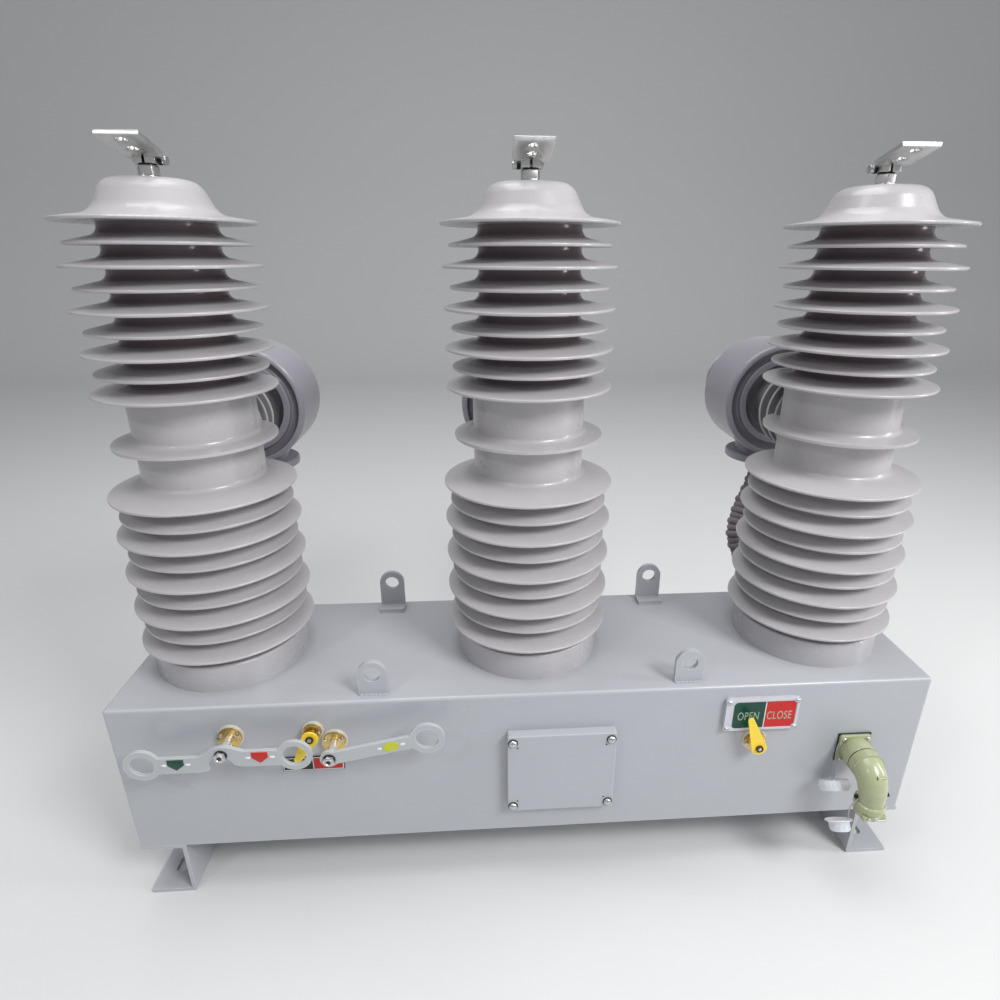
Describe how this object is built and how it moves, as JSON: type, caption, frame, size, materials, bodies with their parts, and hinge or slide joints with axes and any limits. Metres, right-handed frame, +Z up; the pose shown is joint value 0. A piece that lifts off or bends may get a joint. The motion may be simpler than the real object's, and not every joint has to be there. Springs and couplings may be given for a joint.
{
  "type": "automatic circuit recloser",
  "caption": "Pole-mounted automatic circuit recloser: insulated vertical poles with rear arms and ring current transformers on a low mechanism case with handles and indicators.",
  "frame": {"origin": "on the floor, under the middle of the bounding box of the whole object", "axes": "+X along the case to the right seen from its front, +Y to the rear, where the arms point, +Z up"},
  "size_m": [1.032, 0.622, 0.9209],
  "materials": {
    "case_paint": "smooth light blue-grey paint, half gloss",
    "insulator": "mid grey silicone rubber, half gloss",
    "transformer_resin": "grey cast resin, half gloss",
    "conduit_rubber": "dark grey rubber",
    "tinned_metal": "tinned copper, bright",
    "bushing_brass": "turned brass",
    "handle_paint": "grey paint",
    "pointer_yellow": "yellow paint",
    "label_plastic": "printed label, dark and red halves",
    "window_frame": "pressed frame with a green and a red half",
    "gasket_rubber": "black rubber",
    "connector_green": "pale olive green over zinc",
    "cap_plastic": "milky white plastic",
    "cord_nylon": "clear nylon cord"
  },
  "bodies": {
    "recloser": {"cap_cord": "cord_nylon", "charge_indicator_plate": "label_plastic", "charge_pointer_bushing": "bushing_brass", "charging_bushing": "bushing_brass", "conduit_gland_left": "conduit_rubber", "conduit_gland_middle": "conduit_rubber", "conduit_gland_right": "conduit_rubber", "connector_cable_clamp": "connector_green", "connector_gasket": "gasket_rubber", "connector_plug": "connector_green", "connector_socket": "connector_green", "cup_cord": "cord_nylon", "current_transformer_left": "transformer_resin", "current_transformer_middle": "transformer_resin", "current_transformer_right": "transformer_resin", "dust_cap": "cap_plastic", "dust_cup": "cap_plastic", "inspection_cover": "case_paint", "lead_conduit_left": "conduit_rubber", "lead_conduit_middle": "conduit_rubber", "lead_conduit_right": "conduit_rubber", "lifting_lug_front_left": "case_paint", "lifting_lug_front_right": "case_paint", "lifting_lug_rear_left": "case_paint", "lifting_lug_rear_right": "case_paint", "mechanism_case": "case_paint", "pole_left": "insulator", "pole_middle": "insulator", "pole_right": "insulator", "position_indicator_window": "window_frame", "position_pointer_bushing": "bushing_brass", "rail_left": "case_paint", "rail_right": "case_paint", "rear_terminal_left": "tinned_metal", "rear_terminal_middle": "tinned_metal", "rear_terminal_right": "tinned_metal", "top_terminal_left": "tinned_metal", "top_terminal_middle": "tinned_metal", "top_terminal_right": "tinned_metal", "trip_close_bushing": "bushing_brass"},
    "trip_close_handle": {"trip_close_handle": "handle_paint"},
    "charging_handle": {"charging_handle": "handle_paint"},
    "charge_pointer": {"charge_pointer": "pointer_yellow"},
    "position_pointer": {"position_pointer": "pointer_yellow"}
  },
  "joints": [
    {"name": "trip_close_turn", "type": "hinge", "parent": "recloser", "child": "trip_close_handle", "pos_m": [-0.372, -0.2375, 0.26], "axis": [0, -1, 0], "range_deg": [-25, 25]},
    {"name": "charging_turn", "type": "hinge", "parent": "recloser", "child": "charging_handle", "pos_m": [-0.248, -0.2375, 0.247], "axis": [0, -1, 0], "range_deg": [-70, 0]},
    {"name": "charge_pointer_turn", "type": "hinge", "parent": "recloser", "child": "charge_pointer", "pos_m": [-0.273, -0.2375, 0.2635], "axis": [0, -1, 0], "range_deg": [0, 48]},
    {"name": "position_pointer_turn", "type": "hinge", "parent": "recloser", "child": "position_pointer", "pos_m": [0.29, -0.2375, 0.2185], "axis": [0, -1, 0], "range_deg": [-50, 0]}
  ]
}
